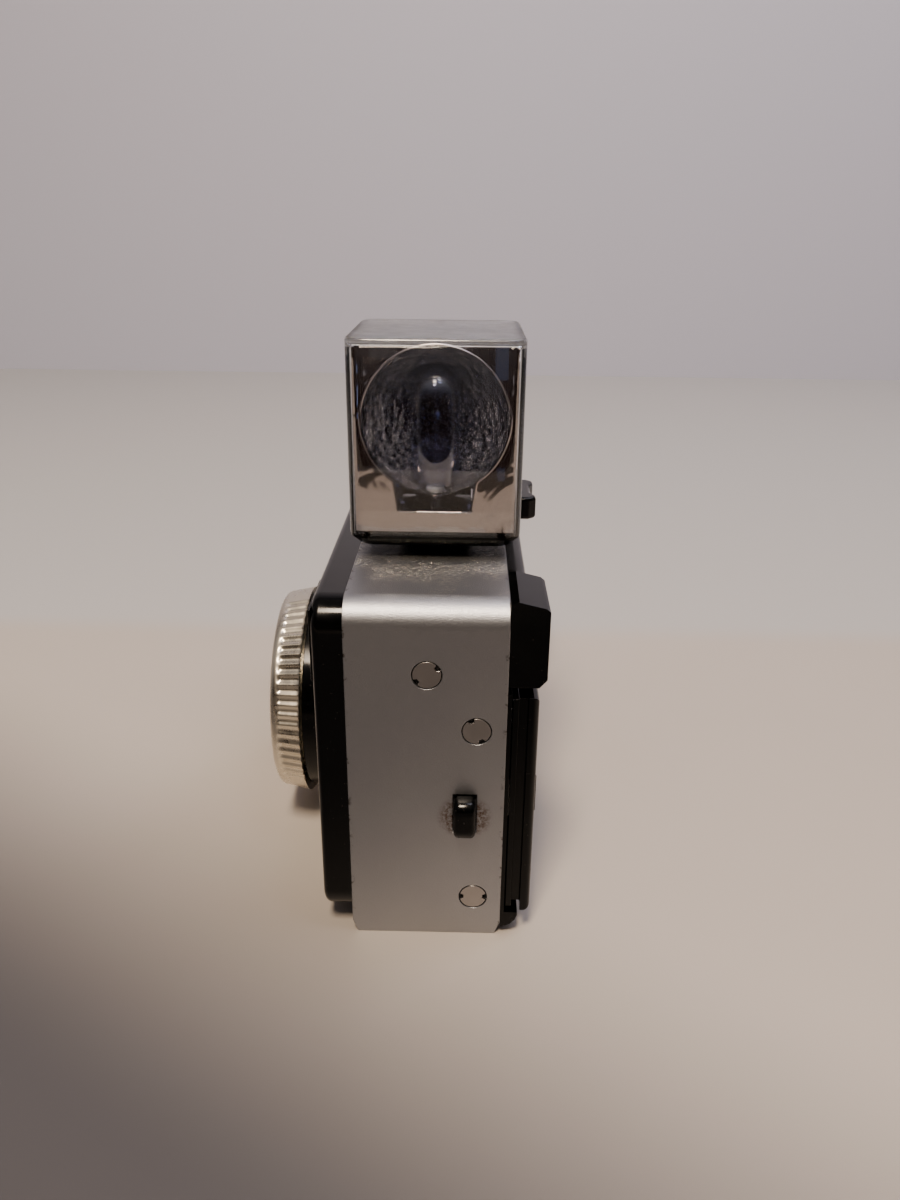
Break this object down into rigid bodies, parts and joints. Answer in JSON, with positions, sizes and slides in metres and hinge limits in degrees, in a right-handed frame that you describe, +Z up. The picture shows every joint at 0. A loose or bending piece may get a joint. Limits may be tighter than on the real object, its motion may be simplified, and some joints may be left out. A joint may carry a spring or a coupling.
{
  "type": "pocket cartridge camera with flash cube",
  "caption": "Viewfinder camera for drop-in film cartridges, with a fluted exposure ring, hinged back, thumb-slide film advance and a rotating plug-in flash cube.",
  "frame": {"origin": "middle of the bottom face of the body, on the surface it stands on", "axes": "+Z up, -Y the way the lens looks, +X along the body towards the end with the strap lug"},
  "size_m": [0.1111, 0.053, 0.0982],
  "materials": {
    "chassis_plastic": "moulded matt black",
    "gloss_black_plastic": "gloss black",
    "black_leatherette": "grained",
    "satin_aluminium": "satin",
    "fluted_aluminium": "bright fluted",
    "clear_plastic": "clear",
    "lens_glass": "polished",
    "bulb_glass": "blue-tinted lacquer",
    "mirror_foil": "vacuum-metallised",
    "cube_base_plastic": "satin black",
    "screw_steel": "satin",
    "spring_steel": "bright wire and strip",
    "brass": "turned",
    "black_metal": "matt black",
    "nylon_gear": "natural nylon",
    "battery_wrap": "plain printed sleeve",
    "contact_plate": "nickel plated"
  },
  "bodies": {
    "camera": {"battery_1": "battery_wrap", "battery_2": "battery_wrap", "battery_contacts": "contact_plate", "button_bracket": "spring_steel", "button_spring": "spring_steel", "chassis": "chassis_plastic", "door_catch": "screw_steel", "end_screws_left": "screw_steel", "end_screws_right": "screw_steel", "eyepiece_housing": "gloss_black_plastic", "eyepiece_lens": "clear_plastic", "film_gate": "black_metal", "finder_objective": "clear_plastic", "finder_trim": "gloss_black_plastic", "finder_window": "clear_plastic", "front_leatherette": "black_leatherette", "front_lens": "lens_glass", "front_panel": "gloss_black_plastic", "hinge_pin": "screw_steel", "lens_barrel": "black_metal", "lens_base": "gloss_black_plastic", "lens_retainer": "brass", "lens_spacer": "brass", "lens_surround": "gloss_black_plastic", "light_tunnel": "chassis_plastic", "rear_frame": "chassis_plastic", "rear_lens": "lens_glass", "rear_upper_housing": "gloss_black_plastic", "shutter_plate": "black_metal", "silver_band": "satin_aluminium", "socket_collar": "gloss_black_plastic", "strap_lug": "gloss_black_plastic", "tripod_bush": "brass"},
    "advance": {"advance_rack": "nylon_gear", "advance_pad": "gloss_black_plastic"},
    "cube_socket": {"cube_turntable": "gloss_black_plastic", "cube_gear": "nylon_gear"},
    "flash_cube": {"cube_base": "cube_base_plastic", "cube_cover": "clear_plastic", "cube_reflector": "mirror_foil", "cube_bulb_1": "bulb_glass", "cube_bulb_2": "bulb_glass", "cube_bulb_3": "bulb_glass", "cube_bulb_4": "bulb_glass", "cube_lead_wires": "spring_steel"},
    "takeup": {"takeup_gear": "nylon_gear", "takeup_spindle": "nylon_gear"},
    "release": {"release_button": "gloss_black_plastic"},
    "lever": {"release_lever": "black_metal"},
    "shutter": {"shutter_blade": "black_metal"},
    "setting": {"setting_ring": "fluted_aluminium"},
    "stop": {"aperture_plate": "black_metal"},
    "door": {"rear_door": "gloss_black_plastic", "door_window": "clear_plastic", "cartridge_springs": "spring_steel"},
    "latch": {"door_latch": "gloss_black_plastic"}
  },
  "joints": [
    {"name": "advance_slide", "type": "slide", "parent": "camera", "child": "advance", "axis": [1, 0, 0], "range_m": [0, 0.01382], "stiffness_N_per_m": 30, "springref_m": -0.004},
    {"name": "cube_turn", "type": "hinge", "parent": "camera", "child": "cube_socket", "pos_m": [0.0205, 0.0006, 0.05], "axis": [0, 0, 1], "range_deg": [-90.5, 0]},
    {"name": "takeup_turn", "type": "hinge", "parent": "camera", "child": "takeup", "pos_m": [-0.02223, 0.0038, 0.05], "axis": [0, 0, 1], "range_deg": [-142, 0]},
    {"name": "cube_lift", "type": "slide", "parent": "cube_socket", "child": "flash_cube", "axis": [0, 0, 1], "range_m": [0, 0.012]},
    {"name": "button_press", "type": "slide", "parent": "camera", "child": "release", "axis": [0, 0, -1], "range_m": [0, 0.002], "stiffness_N_per_m": 600, "springref_m": -0.001, "deforming": ["button_spring"]},
    {"name": "lever_turn", "type": "hinge", "parent": "camera", "child": "lever", "pos_m": [-0.014, -0.015, 0.046], "axis": [0, 1, 0], "range_deg": [-5, 0]},
    {"name": "shutter_turn", "type": "hinge", "parent": "camera", "child": "shutter", "pos_m": [0.006, -0.014, 0.04], "axis": [0, 1, 0], "range_deg": [0, 22]},
    {"name": "ring_turn", "type": "hinge", "parent": "camera", "child": "setting", "pos_m": [0.0095, -0.026, 0.0242], "axis": [0, 1, 0], "range_deg": [-30, 30]},
    {"name": "stop_turn", "type": "hinge", "parent": "camera", "child": "stop", "pos_m": [0.0095, -0.02, 0.0152], "axis": [0, 1, 0], "range_deg": [-19, 19]},
    {"name": "door_swing", "type": "hinge", "parent": "camera", "child": "door", "pos_m": [-0.0519, 0.0155, 0.025], "axis": [0, 0, 1], "range_deg": [0, 110]},
    {"name": "latch_slide", "type": "slide", "parent": "door", "child": "latch", "axis": [-1, 0, 0], "range_m": [0, 0.0022], "stiffness_N_per_m": 300, "springref_m": -0.001}
  ],
  "couplings": [
    {"joint": "cube_turn", "follows": "advance_slide", "rad_per_m": -113.64},
    {"joint": "takeup_turn", "follows": "advance_slide", "rad_per_m": -178.57},
    {"joint": "lever_turn", "follows": "button_press", "rad_per_m": -41.667},
    {"joint": "shutter_turn", "follows": "button_press", "rad_per_m": 181.8},
    {"joint": "stop_turn", "follows": "ring_turn", "ratio": 0.6197}
  ]
}
